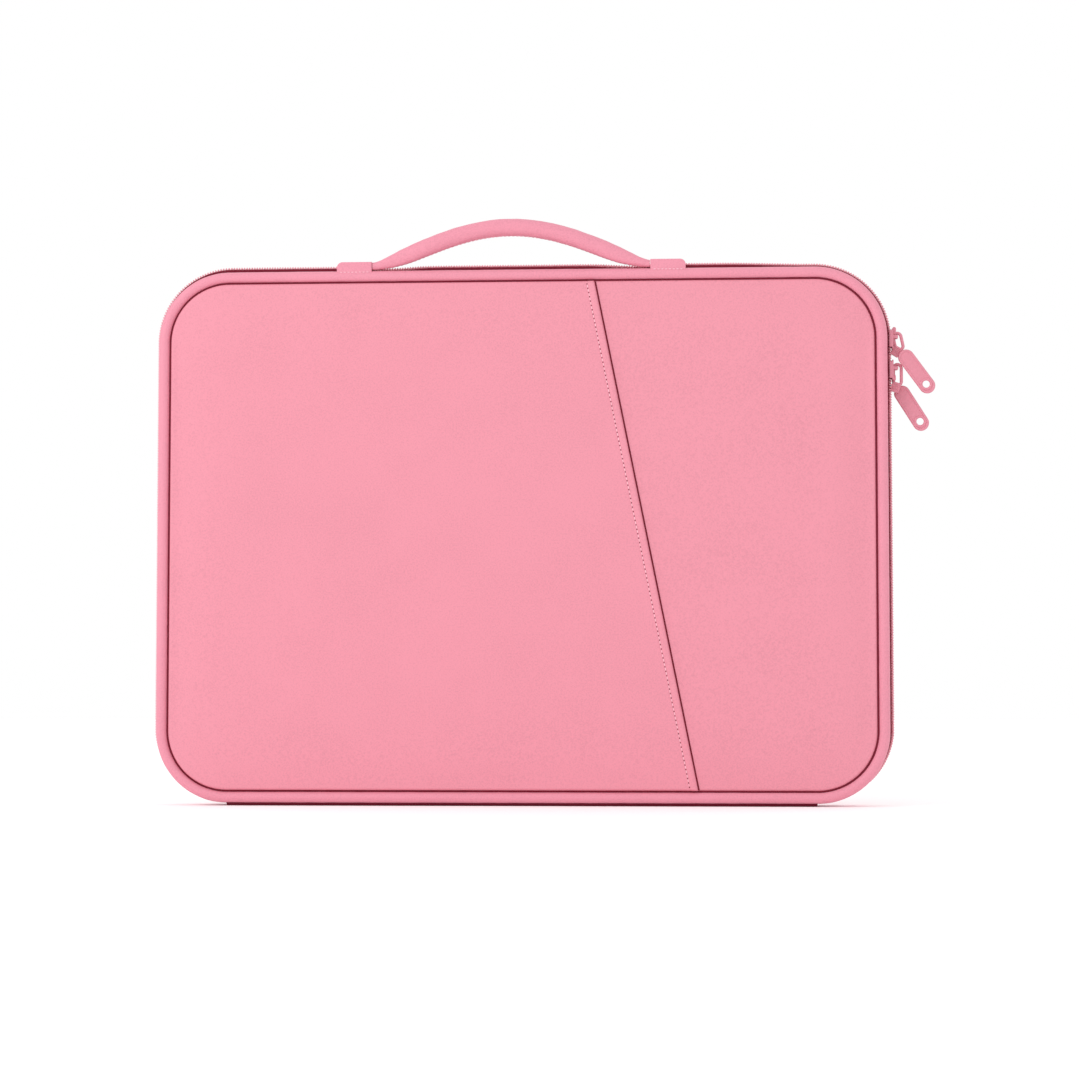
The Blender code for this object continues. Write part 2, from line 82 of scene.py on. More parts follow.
# Body outline, taken from the gusset and the piping
WALL_PLACES = ("lower_left", "left", "upper_left", "top", "upper_right", "right", "lower_right")
GUSSET = tuple("gusset_" + place for place in WALL_PLACES)
GUSSET_LINING = tuple("gusset_lining_" + place for place in WALL_PLACES + ("bottom",))
GUSSET_TOP_LOW, GUSSET_TOP_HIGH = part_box("gusset_top")
GUSSET_HIGH = Vector((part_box("gusset_right")[1].x, GUSSET_TOP_HIGH.y, GUSSET_TOP_HIGH.z))
GUSSET_LOW = Vector((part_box("gusset_left")[0].x, GUSSET_TOP_LOW.y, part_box("gusset_lower_left")[0].z))
FRONT_PIPING_LOW, FRONT_PIPING_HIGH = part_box("front_piping")
REAR_PIPING_LOW, REAR_PIPING_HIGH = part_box("rear_piping")
SIDE = GUSSET_HIGH.x + 0.2 * MM
TOP = GUSSET_HIGH.z + 0.2 * MM
BOTTOM = GUSSET_LOW.z - 0.2 * MM
CORNER_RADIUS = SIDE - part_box("bottom_spine")[1].x
CORNER_X = SIDE - CORNER_RADIUS
UPPER_Z = TOP - CORNER_RADIUS
LOWER_Z = BOTTOM + CORNER_RADIUS

# Depths and insets of the padded faces
PIPING_RADIUS = (FRONT_PIPING_HIGH.y - FRONT_PIPING_LOW.y) / 2
PIPING_INSET = PIPING_RADIUS + 0.1 * MM
FRONT_PIPING_Y = (FRONT_PIPING_HIGH.y + FRONT_PIPING_LOW.y) / 2
REAR_PIPING_Y = (REAR_PIPING_HIGH.y + REAR_PIPING_LOW.y) / 2
SEAM_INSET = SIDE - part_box("front_panel")[1].x
PAD_INSET = SEAM_INSET + 0.4 * MM  # leaves the seam cord of painted shade showing along the piping
CHAIN_Y = JOINTS["upper_slider_run"]["pos_m"][1]

# Colours, in linear light
PANEL_PINK = (0.735, 0.265, 0.335)
TRIM_PINK = (0.735, 0.265, 0.345)
# Dark red painted shade, for grooves, holes, gaps and folds where shadow falls
SHADE_RED = (0.17, 0.02, 0.035)
THREAD_PINK = (0.92, 0.56, 0.63)
TAPE_PINK = (0.42, 0.075, 0.12)
COIL_PINK = (0.86, 0.36, 0.43)
PULL_PINK = (0.70, 0.24, 0.31)
PLUSH_PINK = (0.88, 0.52, 0.58)


# --- camera

def make_camera():
    """Almost square on, a little to the right and a little low."""
    distance = 1.3
    yaw = math.radians(3.69)
    pitch = math.radians(-3.48)
    target = Vector((9.7 * MM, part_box("pocket_panel")[0].y, 130.1 * MM))
    forward = Vector((-math.sin(yaw) * math.cos(pitch), math.cos(yaw) * math.cos(pitch), -math.sin(pitch)))
    data = bpy.data.cameras.new("camera")
    data.lens = 88.6
    data.sensor_width = 36
    data.clip_end = 20
    camera = link("camera", data)
    camera.location = target - distance * forward
    camera.rotation_euler = forward.to_track_quat("-Z", "Y").to_euler()
    bpy.context.scene.camera = camera


# --- materials

def new_material(name, colour, roughness, specular=0.5):
    material = bpy.data.materials.new(name)
    material.use_nodes = True
    material.diffuse_color = (*colour, 1)
    shader = material.node_tree.nodes["Principled BSDF"]
    shader.inputs["Base Color"].default_value = (*colour, 1)
    shader.inputs["Roughness"].default_value = roughness
    shader.inputs["Specular IOR Level"].default_value = specular
    return material, material.node_tree, shader


def texture(tree, kind, scale, **settings):
    """A texture node in object space, with its other inputs and settings by name."""
    node = tree.nodes.new("ShaderNodeTex" + kind)
    node.inputs["Scale"].default_value = scale
    for key, value in settings.items():
        if key in node.inputs:
            node.inputs[key].default_value = value
        else:
            setattr(node, key, value)
    where = tree.nodes.new("ShaderNodeTexCoord").outputs["Object"]
    tree.links.new(where, node.inputs["Vector"])
    return node


def tint(tree, shader, factor, colour, darkest, lightest):
    """Shade the colour from darkest to lightest over the middle of a texture's range."""
    node = tree.nodes.new("ShaderNodeValToRGB")
    ends = zip(node.color_ramp.elements, (0.3, 0.7), (darkest, lightest))
    for element, position, share in ends:
        element.position = position
        element.color = (*(min(1, channel * share) for channel in colour), 1)
    tree.links.new(factor, node.inputs["Fac"])
    tree.links.new(node.outputs["Color"], shader.inputs["Base Color"])


def bump(tree, shader, height, strength, distance, under=None):
    node = tree.nodes.new("ShaderNodeBump")
    node.inputs["Strength"].default_value = strength
    node.inputs["Distance"].default_value = distance
    tree.links.new(height, node.inputs["Height"])
    if under:
        tree.links.new(under, node.inputs["Normal"])
    tree.links.new(node.outputs["Normal"], shader.inputs["Normal"])
    return node.outputs["Normal"]


def leather(name, colour, grain=1500, roughness=0.52, depth=0.5, specular=0.38):
    """Fine-grained coated leather: small pebbles over broad, faint mottling."""
    material, tree, shader = new_material(name, colour, roughness, specular)
    mottle = texture(tree, "Noise", 38, Detail=3.0)
    speckle = texture(tree, "Noise", 1300, Detail=2.0)
    mixed = tree.nodes.new("ShaderNodeMath")
    mixed.operation = "MULTIPLY_ADD"
    mixed.inputs[1].default_value = 0.25
    tree.links.new(mottle.outputs["Fac"], mixed.inputs[0])
    tree.links.new(speckle.outputs["Fac"], mixed.inputs[2])
    tint(tree, shader, mixed.outputs["Value"], colour, 0.9, 1.06)
    pebble = texture(tree, "Voronoi", grain, feature="SMOOTH_F1")
    crease = texture(tree, "Noise", grain * 0.55, Detail=4.0)
    first = bump(tree, shader, crease.outputs["Fac"], depth * 0.7, 0.12 * MM)
    bump(tree, shader, pebble.outputs["Distance"], depth, 0.1 * MM, first)
    shine = texture(tree, "Noise", 220, Detail=2.0)
    spread = tree.nodes.new("ShaderNodeMapRange")
    spread.inputs["To Min"].default_value = roughness - 0.06
    spread.inputs["To Max"].default_value = roughness + 0.06
    tree.links.new(shine.outputs["Fac"], spread.inputs["Value"])
    tree.links.new(spread.outputs["Result"], shader.inputs["Roughness"])
    return material


def woven(name, colour):
    """Twill zip tape: crossed threads about half a millimetre apart."""
    material, tree, shader = new_material(name, colour, 0.85, 0.05)
    shader.inputs["Sheen Weight"].default_value = 0.15
    warp = texture(tree, "Wave", 320, bands_direction="DIAGONAL")
    weft = texture(tree, "Wave", 320, bands_direction="Y")
    mixed = tree.nodes.new("ShaderNodeMath")
    mixed.operation = "MULTIPLY"
    tree.links.new(warp.outputs["Fac"], mixed.inputs[0])
    tree.links.new(weft.outputs["Fac"], mixed.inputs[1])
    tint(tree, shader, mixed.outputs["Value"], colour, 0.7, 1.2)
    bump(tree, shader, mixed.outputs["Value"], 0.5, 0.12 * MM)
    return material


def plush(name, colour):
    """Short brushed pile, lighter where the pile stands up."""
    material, tree, shader = new_material(name, colour, 0.95, 0.1)
    shader.inputs["Sheen Weight"].default_value = 0.35
    shader.inputs["Sheen Roughness"].default_value = 0.5
    brushed = texture(tree, "Noise", 24, Detail=5.0)
    tint(tree, shader, brushed.outputs["Fac"], colour, 0.88, 1.08)
    pile = texture(tree, "Noise", 2600, Detail=4.0)
    bump(tree, shader, pile.outputs["Fac"], 0.7, 0.25 * MM)
    return material


def moulded(name, colour, roughness, grain, depth):
    """Smooth plastic, enamel or thread with a faint uneven surface."""
    material, tree, shader = new_material(name, colour, roughness, 0.5)
    uneven = texture(tree, "Noise", grain, Detail=3.0)
    tint(tree, shader, uneven.outputs["Fac"], colour, 0.95, 1.03)
    bump(tree, shader, uneven.outputs["Fac"], depth, 0.05 * MM)
    return material


def make_materials():
    enamel = moulded("pull_enamel", PULL_PINK, 0.36, 900, 0.12)
    enamel.node_tree.nodes["Principled BSDF"].inputs["Coat Weight"].default_value = 0.12
    return {
        "panel": leather("panel_leather", PANEL_PINK, roughness=0.56),
        "trim": leather("trim_leather", TRIM_PINK, grain=1700, roughness=0.5, depth=0.45),
        # painted shade: this dark material stands in for the shadow in grooves, holes and gaps
        "seam": leather("seam_leather", SHADE_RED, roughness=0.8, specular=0.0),
        "thread": moulded("sewing_thread", THREAD_PINK, 0.6, 4000, 0.5),
        "tape": woven("woven_tape", TAPE_PINK),
        "coil": moulded("coil_nylon", COIL_PINK, 0.34, 1500, 0.1),
        "enamel": enamel,
        "plush": plush("plush_lining", PLUSH_PINK),
    }


# --- mesh tools

def finish_piece(obj, material, body, nodes=(), smooth_angle=50):
    """Shade a piece, give it its material and body, and hide the CAD nodes it stands for."""
    mesh = obj.data
    mesh.materials.clear()
    mesh.materials.append(MATERIALS[material])
    mesh.shade_smooth()
    mesh.set_sharp_from_angle(angle=math.radians(smooth_angle))
    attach(obj, body)
    if nodes:
        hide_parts(*nodes)
    return obj


def link(name, data):
    """A new object in the scene that shows the data."""
    obj = bpy.data.objects.new(name, data)
    bpy.context.scene.collection.objects.link(obj)
    return obj


def link_bmesh(name, body):
    """A new object in the scene whose mesh is a finished bmesh."""
    mesh = bpy.data.meshes.new(name)
    body.to_mesh(mesh)
    body.free()
    return link(name, mesh)


def clean(mesh):
    """Merge a mesh's doubled vertices and turn its faces outward."""
    body = bmesh.new()
    body.from_mesh(mesh)
    bmesh.ops.remove_doubles(body, verts=body.verts, dist=0.002 * MM)
    bmesh.ops.recalc_face_normals(body, faces=body.faces)
    body.to_mesh(mesh)
    body.free()


def mesh_object(name, vertices, faces):
    """A mesh object with its faces turned outward."""
    mesh = bpy.data.meshes.new(name)
    mesh.from_pydata([tuple(v) for v in vertices], [], faces)
    clean(mesh)
    return link(name, mesh)


def tube_faces(count, size, closed=False):
    """Faces of a tube through count sections, each a loop of size vertices."""
    faces = []
    for i in range(count if closed else count - 1):
        here = i * size
        there = ((i + 1) % count) * size
        for k in range(size):
            after = (k + 1) % size
            faces.append((here + k, here + after, there + after, there + k))
    if not closed:
        faces.append(tuple(range(size)))
        faces.append(tuple(range((count - 1) * size, count * size)))
    return faces


def apply_modifiers(obj):
    """Replace an object's curve or modified mesh by the finished mesh."""
    bpy.context.view_layer.update()
    mesh = bpy.data.meshes.new_from_object(obj.evaluated_get(bpy.context.evaluated_depsgraph_get()))
    place = obj.matrix_world.copy()
    name = obj.name
    bpy.data.objects.remove(obj, do_unlink=True)
    clean(mesh)
    mesh.transform(place)
    return link(name, mesh)


def joined(name, *objects):
    """Several mesh objects as one."""
    body = bmesh.new()
    for obj in objects:
        mesh = obj.data.copy()
        mesh.transform(obj.matrix_world)
        body.from_mesh(mesh)
        bpy.data.meshes.remove(mesh)
        bpy.data.objects.remove(obj, do_unlink=True)
    return link_bmesh(name, body)


def scatter(name, size, frames):
    """Many rounded beads of one size, one at each 4 x 4 frame, in one mesh."""
    body = bmesh.new()
    bmesh.ops.create_uvsphere(body, u_segments=8, v_segments=6, radius=0.5)
    bmesh.ops.scale(body, vec=size, verts=body.verts)
    bead = np.array([v.co for v in body.verts])
    sides = [[v.index for v in f.verts] for f in body.faces]
    body.free()
    vertices = []
    faces = []
    for matrix in frames:
        start = len(vertices) * len(bead)
        turn = np.array(matrix.to_3x3())
        vertices.append(bead @ turn.T + np.array(matrix.translation))
        faces += [[start + i for i in face] for face in sides]
    mesh = bpy.data.meshes.new(name)
    mesh.from_pydata(np.concatenate(vertices).tolist(), [], faces)
    return link(name, mesh)


def frame_at(place, along, out):
    """A frame whose X runs along a line of beads and whose Z points out of it."""
    along = along.normalized()
    side = out.cross(along).normalized()
    out = along.cross(side)
    turn = Matrix((along, side, out)).transposed().to_4x4()
    return Matrix.Translation(place) @ turn


def stitches(name, places, outward, body, length=1.7 * MM, width=0.5 * MM):
    """A row of stitches, one on each stretch between neighbouring places."""
    stretches = zip(places, places[1:], outward)
    frames = [frame_at((a + b) / 2, b - a, out) for a, b, out in stretches]
    row = scatter(name, (length, width, width), frames)
    return finish_piece(row, "thread", body)


def add_line(curve, points, closed):
    """Add straight stretches through 3-D points to a curve."""
    spline = curve.splines.new("POLY")
    spline.points.add(len(points) - 1)
    for point, place in zip(spline.points, points):
        point.co = (*place, 1)
    spline.use_cyclic_u = closed


def slab(name, outlines, thickness, edge):
    """A plate in the XY plane with rounded edges, one outline for each border."""
    curve = bpy.data.curves.new(name, "CURVE")
    curve.dimensions = "2D"
    curve.fill_mode = "BOTH"
    curve.extrude = thickness / 2 - edge
    curve.bevel_depth = edge
    curve.bevel_resolution = 3
    curve.offset = -edge
    for outline in outlines:
        add_line(curve, [(u, v, 0) for u, v in outline], True)
    return link(name, curve)


def wire(name, points, radius, closed=False, steps=4):
    """A round wire through the points."""
    curve = bpy.data.curves.new(name, "CURVE")
    curve.dimensions = "3D"
    curve.bevel_depth = radius
    curve.bevel_resolution = steps
    curve.use_fill_caps = not closed
    add_line(curve, points, closed)
    return apply_modifiers(link(name, curve))


def arc(centre_x, centre_y, radius, start, end, steps=10):
    """Points along an arc, from one angle in degrees to another."""
    turns = [math.radians(start + (end - start) * i / steps) for i in range(steps + 1)]
    return [(centre_x + radius * math.cos(t), centre_y + radius * math.sin(t)) for t in turns]


def rounded_block(name, low, high, edge, steps=3):
    """A box between two corners with its edges rounded."""
    low = Vector(low)
    high = Vector(high)
    body = bmesh.new()
    bmesh.ops.create_cube(body, size=1)
    bmesh.ops.scale(body, vec=high - low, verts=body.verts)
    bmesh.ops.translate(body, vec=(low + high) / 2, verts=body.verts)
    bmesh.ops.bevel(body, geom=body.edges, offset=edge, segments=steps, affect="EDGES", profile=0.5)
    return link_bmesh(name, body)


# --- the body's outline

def rim_stretches(first, last, closed):
    """The outline as arcs and lines, clockwise from the bottom-left corner."""
    parts = [
        ("arc", -CORNER_X, LOWER_Z, first, 180),
        ("line", (-SIDE, LOWER_Z), (-SIDE, UPPER_Z), (-1, 0)),
        ("arc", -CORNER_X, UPPER_Z, 180, 90),
        ("line", (-CORNER_X, TOP), (CORNER_X, TOP), (0, 1)),
        ("arc", CORNER_X, UPPER_Z, 90, 0),
        ("line", (SIDE, UPPER_Z), (SIDE, LOWER_Z), (1, 0)),
        ("arc", CORNER_X, LOWER_Z, 0, last),
    ]
    if closed:
        parts.append(("line", (CORNER_X, BOTTOM), (-CORNER_X, BOTTOM), (0, -1)))
    return parts


def rim(spacing, first=270, last=-90, closed=False):
    """Places along the outline with their outward normals, evenly spaced."""
    parts = rim_stretches(first, last, closed)
    lengths = []
    for part in parts:
        if part[0] == "arc":
            lengths.append(CORNER_RADIUS * math.radians(abs(part[3] - part[4])))
        else:
            lengths.append(math.dist(part[1], part[2]))
    total = sum(lengths)
    count = round(total / spacing)
    places = []
    for i in range(count if closed else count + 1):
        along = total * i / count
        for part, length in zip(parts, lengths):
            if along <= length + 1e-9:
                break
            along -= length
        share = min(1, along / length)
        if part[0] == "arc":
            turn = math.radians(part[3] + (part[4] - part[3]) * share)
            out = Vector((math.cos(turn), 0, math.sin(turn)))
            base = Vector((part[1], 0, part[2])) + CORNER_RADIUS * out
        else:
            out = Vector((part[3][0], 0, part[3][1]))
            ends = [Vector((x, 0, z)) for x, z in part[1:3]]
            base = ends[0].lerp(ends[1], share)
        places.append((base, out))
    return places


def sweep(name, profile, places, closed=False):
    """A solid whose section, a loop of (outset, depth), runs along the outline."""
    vertices = []
    for i, (base, out) in enumerate(places):
        for outset, depth in profile(i):
            vertices.append(base + out * outset + Vector((0, depth, 0)))
    return mesh_object(name, vertices, tube_faces(len(places), len(profile(0)), closed))


def strap_section(low, top, front, back, edge, crown=0.0):
    """A flat section with round edges, which stands crown higher in its middle."""
    corners = [(top - edge, back - edge, 90, 0), (low + edge, back - edge, 180, 90)]
    corners += [(low + edge, front + edge, 270, 180), (top - edge, front + edge, 360, 270)]
    loop = []
    for outset, depth, start, end in corners:
        for u, v in arc(0, 0, edge, end, start, 3):
            loop.append((outset + u, depth + v))
    middle = (front + back) / 2
    half = (back - front) / 2
    for step in (0.6, 0.2, -0.2, -0.6):
        loop.append((top + crown * (1 - step * step), middle - half * step * 0.98))
    return loop


# --- padded panels

def half_width(z, inset):
    """Half the outline's width at a height, grown smaller by inset."""
    radius = CORNER_RADIUS - inset
    past = max(0, z - UPPER_Z, LOWER_Z - z)
    return CORNER_X + math.sqrt(max(0, radius * radius - past * past))


def seam_distance(x, z, inset):
    """How far a point lies inside the outline that is inset from the body's."""
    radius = CORNER_RADIUS - inset
    past_x = abs(x) - CORNER_X
    past_z = max(z - UPPER_Z, LOWER_Z - z)
    if past_x > 0 and past_z > 0:
        return radius - math.hypot(past_x, past_z)
    return radius - max(past_x, past_z)


def heights(inset, spacing):
    """Heights of a panel's rows, closer together round the corners."""
    radius = CORNER_RADIUS - inset
    steps = 14
    rise = [radius * math.sin(math.pi / 2 * i / steps) for i in range(1, steps + 1)]
    low = [LOWER_Z - value for value in reversed(rise)]
    high = [UPPER_Z + value for value in rise]
    count = round((UPPER_Z - LOWER_Z) / spacing)
    middle = [LOWER_Z + (UPPER_Z - LOWER_Z) * i / count for i in range(count + 1)]
    return low + middle + high


def panel(name, rows, inset, columns, face, back):
    """A closed panel within the inset outline, with a depth for each side of it."""
    vertices = []
    for side in (face, back):
        for z in rows:
            for i in range(columns + 1):
                share = (1 - math.cos(math.pi * i / columns)) / 2
                share = 0.35 * share + 0.65 * i / columns
                x = half_width(z, inset) * (2 * share - 1)
                vertices.append((x, side(x, z), z))
    wide = columns + 1
    layer = wide * len(rows)
    faces = []
    for j in range(len(rows) - 1):
        for i in range(columns):
            k = j * wide + i
            faces.append((k, k + 1, k + wide + 1, k + wide))
            faces.append((layer + k, layer + k + wide, layer + k + wide + 1, layer + k + 1))
    border = list(range(wide))
    border += [j * wide + columns for j in range(1, len(rows))]
    border += [(len(rows) - 1) * wide + i for i in range(columns - 1, -1, -1)]
    border += [j * wide for j in range(len(rows) - 2, 0, -1)]
    for a, b in zip(border, border[1:] + border[:1]):
        faces.append((a, layer + a, layer + b, b))
    return mesh_object(name, vertices, faces)


def roll(distance, width):
    """0 at a seam, rising round to 1 where the padding is full."""
    share = min(1, max(0, distance / width))
    return math.sqrt(1 - (1 - share) ** 2)


PUFF_FRAMES = 20


def puff(obj, still, cap):
    """How far a cloth simulation puffs a pad's face, as a function of place.

    No point moves by more than cap.
    The face is the first half of the pad's vertices, and the back the rest.
    """
    before = np.array([v.co for v in obj.data.vertices])
    group = obj.vertex_groups.new(name="sewn")
    group.add([i for i, co in enumerate(before) if still(co)], 1.0, "REPLACE")
    cloth = obj.modifiers.new("puff", "CLOTH")
    settings = cloth.settings
    settings.quality = 5
    settings.mass = 0.3
    settings.use_pressure = True
    settings.uniform_pressure_force = 4
    settings.vertex_group_mass = "sewn"
    settings.effector_weights.gravity = 0
    cloth.point_cache.frame_start = 1
    cloth.point_cache.frame_end = PUFF_FRAMES
    for number in range(1, PUFF_FRAMES + 1):
        bpy.context.scene.frame_set(number)
    shaped = obj.evaluated_get(bpy.context.evaluated_depsgraph_get())
    after = np.array([v.co for v in shaped.data.vertices])
    move = (after - before)[:, 1]
    move = np.tanh(move / cap) * cap
    bpy.context.scene.frame_set(1)
    vertices = [(co[0], dy, co[2]) for co, dy in zip(before, move)]
    faces = [f.vertices[:] for f in obj.data.polygons if max(f.vertices) < len(before) // 2]
    tree = BVHTree.FromPolygons(vertices, faces)
    bpy.data.objects.remove(obj, do_unlink=True)

    def lift(x, z):
        hit = tree.ray_cast(Vector((x, -1, z)), Vector((0, 1, 0)))[0]
        return hit.y if hit else 0.0

    return lift


def filled_panel(name, lines, loose, face, back):
    """A closed panel over a convex patch, with a depth for each side of it.

    Its mesh keeps to the lines, which are lists of places with a flag that says
    whether the last one joins the first, and fills in the loose places between.
    """
    places = []
    edges = []
    for points, closed in lines:
        start = len(places)
        places += points
        edges += [(start + i, start + i + 1) for i in range(len(points) - 1)]
        if closed:
            edges.append((start + len(points) - 1, start))
    places += loose
    places = [Vector(place) for place in places]
    flat, _, triangles, *_ = delaunay_2d_cdt(places, edges, [], 0, 1e-6)
    kept = []
    for a, b, c in triangles:
        if abs((flat[b] - flat[a]).cross(flat[c] - flat[a])) > 1e-10:
            kept.append((a, b, c))
    count = len(flat)
    vertices = [(u, face(u, v), v) for u, v in flat]
    vertices += [(u, back(u, v), v) for u, v in flat]
    faces = kept + [(count + c, count + b, count + a) for a, b, c in kept]
    sides = {(t[i], t[(i + 1) % 3]) for t in kept for i in range(3)}
    faces += [(b, a, count + a, count + b) for a, b in sides if (b, a) not in sides]
    return mesh_object(name, vertices, faces)


NEAR_SEAM = [value * MM for value in (0, 0.12, 0.3, 0.6, 1.0, 1.6, 2.6, 4.2, 6.5, 9.5)]


def seam_loops(inset, spacing):
    """Closed lines that follow the outline, closer together near the seam."""
    places = rim(spacing, closed=True)
    loops = []
    for step in NEAR_SEAM:
        loops.append([(base - out * (inset + step)).xz for base, out in places])
    return loops


def inner_grid(inset, spacing):
    """A grid of places over the middle of a panel, clear of its seam loops."""
    wide = round(2 * SIDE / spacing)
    tall = round((TOP - BOTTOM) / spacing)
    grid = []
    for j in range(1, tall):
        for i in range(1, wide):
            x = -SIDE + 2 * SIDE * (i + 0.5 * (j % 2)) / wide
            z = BOTTOM + (TOP - BOTTOM) * j / tall
            if seam_distance(x, z, inset) > NEAR_SEAM[-1] + spacing * 0.6:
                grid.append((x, z))
    return grid


def make_pad(name, seam_y, full_y, inner_y, body, nodes):
    """One padded face: leather over foam, sewn down along the piping.

    Returns the depth of its outer face as a function of place.
    """
    toward = math.copysign(1, full_y - seam_y)
    inset = PAD_INSET

    def drawn(x, z):
        distance = seam_distance(x, z, inset)
        swell = 0.62 * roll(distance, 1.1 * MM) + 0.38 * roll(distance, 12 * MM)
        wave = 0.14 * MM * noise.noise(Vector((x, full_y, z)) * 17)
        return seam_y + (full_y - seam_y + toward * wave) * swell

    def back(x, z):
        return inner_y

    def still(co):  # sewn down at its back and along the seam
        return abs(co[1] - inner_y) < 0.3 * MM or seam_distance(co[0], co[2], inset) < 1.0 * MM

    rough = panel(name + "_rough", heights(inset, 5 * MM), inset, 72, drawn, back)
    lift = puff(rough, still, 1.1 * MM)

    def face(x, z):
        return drawn(x, z) + lift(x, z) * roll(seam_distance(x, z, inset), 8 * MM)

    lines = [(loop, True) for loop in seam_loops(inset, 2.6 * MM)]
    pad = filled_panel(name, lines, inner_grid(inset, 5 * MM), face, back)
    finish_piece(pad, "panel", body, nodes)
    return face


# --- front shell

POCKET_LOW, POCKET_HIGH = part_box("pocket_panel")
POCKET_SLOPE = -0.2008  # the edge moves left by a fifth of its rise
POCKET_THICKNESS = 0.95 * MM
FOLD_RISE = 0.75 * MM  # the folded edge stands higher than the rest of the pocket
FOLD_WIDTH = 3.2 * MM
STITCH_FROM_EDGE = 3.9 * MM
STITCH_PITCH = 2.2 * MM
STITCH_DENT = 0.28 * MM
STITCH_DENT_WIDTH = 0.7 * MM
NEEDLE_HOLE = (0.62 * MM, 0.62 * MM, 0.36 * MM)
# Painted shade in the pocket's mouth, just past the fold
MOUTH_SHADE_WIDTH = 1.6 * MM
MOUTH_SHADE_RISE = 0.32 * MM

# Lines beside the slanted edge, closest together on the fold and the stitches
NEAR_EDGE = (0, 0.1, 0.25, 0.45, 0.7, 1.0, 1.4, 2.0, 2.7, 3.2, 3.6, 3.9, 4.2, 4.6, 5.3, 6.5, 8.5)
NEAR_EDGE = [value * MM for value in NEAR_EDGE]


def pocket_edge(z):
    """Where the pocket's slanted edge runs at a height."""
    return POCKET_HIGH.x + POCKET_SLOPE * (z - POCKET_LOW.z)


def make_front_shell():
    depth = make_pad(
        "front_panel_leather",
        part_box("front_panel")[1].y + 0.7 * MM,
        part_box("front_panel")[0].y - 0.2 * MM,
        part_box("front_padding")[1].y,
        "lid",
        ("front_panel", "front_padding"),
    )
    make_pocket(depth)
    make_piping("front_piping_leather", FRONT_PIPING_Y, "lid", "front_piping")
    make_lining("front_lining_plush", "front_lining", -1, "lid")


def make_pocket(depth):
    """The pocket's panel, lying on the front with a folded, stitched edge."""
    inset = PAD_INSET

    def under(x, z):
        return depth(x, z) - 0.06 * MM

    def face(x, z):
        from_edge = pocket_edge(z) - x
        rounding = roll(from_edge, 1.0 * MM)
        fold = FOLD_RISE * math.exp(-((max(0, from_edge - 1.2 * MM)) / FOLD_WIDTH) ** 2)
        past_stitch = (from_edge - STITCH_FROM_EDGE) / STITCH_DENT_WIDTH
        pressed = STITCH_DENT * math.exp(-past_stitch ** 2)
        seam = 0.25 + 0.75 * roll(seam_distance(x, z, inset), 1.2 * MM)
        return under(x, z) - (POCKET_THICKNESS * seam + fold - pressed) * rounding

    def room(place):
        return pocket_edge(place[1]) - place[0] - NEAR_EDGE[-1]

    low_z = BOTTOM + inset
    high_z = TOP - inset
    steps = round((high_z - low_z) / (2.5 * MM))
    rows = [low_z + (high_z - low_z) * i / steps for i in range(steps + 1)]
    for step in NEAR_SEAM[1:8]:
        rows += [low_z + step, high_z - step]
    rows.sort()
    lines = [([(pocket_edge(z) - step, z) for z in rows], False) for step in NEAR_EDGE]
    for loop in seam_loops(inset, 2.6 * MM):
        inside = [i for i, place in enumerate(loop) if room(place) > 1.5 * MM]
        first = next(i for i in inside if (i - 1) % len(loop) not in inside)
        run = [loop[(first + i) % len(loop)] for i in range(len(inside))]
        lines.append((run, False))
    loose = [place for place in inner_grid(inset, 5 * MM) if room(place) > 3 * MM]
    pocket = filled_panel("pocket_panel_leather", lines, loose, face, under)
    finish_piece(pocket, "panel", "lid", ("pocket_panel",))
    places = []
    run = TOP - BOTTOM - 2 * SEAM_INSET
    count = round(run * math.hypot(1, POCKET_SLOPE) / STITCH_PITCH)
    for i in range(count + 1):
        z = BOTTOM + SEAM_INSET + run * i / count
        x = pocket_edge(z) - STITCH_FROM_EDGE
        places.append(Vector((x, face(x, z) - 0.08 * MM, z)))
    stitches("pocket_topstitch", places, [FORWARD] * len(places), "lid", 1.55 * MM)
    # Painted shade in the needle holes: small dark beads sunk at each stitch.
    holes = [frame_at(place - FORWARD * 0.05 * MM, Vector((0, 0, 1)), FORWARD) for place in places]
    hole_shade = scatter("pocket_needle_holes", NEEDLE_HOLE, holes)
    finish_piece(hole_shade, "seam", "lid")
    make_pocket_mouth_shade(depth)


def make_pocket_mouth_shade(depth):
    """A dark strip of painted shade inside the pocket's mouth, seen just past the fold."""
    rows = heights(PAD_INSET + 0.3 * MM, 3 * MM)
    vertices = []
    low = ((-0.75 * MM, 0.0), (-0.6 * MM, MOUTH_SHADE_RISE))
    high = ((MOUTH_SHADE_WIDTH, MOUTH_SHADE_RISE), (MOUTH_SHADE_WIDTH, 0.0))
    for z in rows:
        for from_edge, lift in low + high:
            x = pocket_edge(z) - from_edge
            vertices.append((x, depth(x, z) - lift, z))
    mouth_shade = mesh_object("pocket_mouth_binding", vertices, tube_faces(len(rows), 4))
    finish_piece(mouth_shade, "seam", "lid")


def make_piping(name, middle_y, body, node):
    """A corded edge with faint puckers, and a dark cord of painted shade in the seam groove along its
    inner side.
    """
    places = rim(2.4 * MM, closed=True)

    def section(i):
        base = places[i][0]
        pucker = 0.07 * MM * noise.noise(base * 160)
        radius = PIPING_RADIUS + pucker
        return [(u - PIPING_INSET, middle_y + v) for u, v in arc(0, 0, radius, 0, 360, 20)[:-1]]

    cord = sweep(name, section, places, True)
    finish_piece(cord, "trim", body, (node,))
    outward = math.copysign(1, middle_y)
    depth = middle_y + outward * 0.2 * MM

    # The seam cord is painted shade: a dark tube sunk in the groove where its shadow falls.
    def groove(i):
        return [(u - SEAM_INSET, depth + v) for u, v in arc(0, 0, 0.9 * MM, 0, 360, 10)[:-1]]

    seam = sweep(name.replace("_leather", "_seam"), groove, places, True)
    finish_piece(seam, "seam", body)


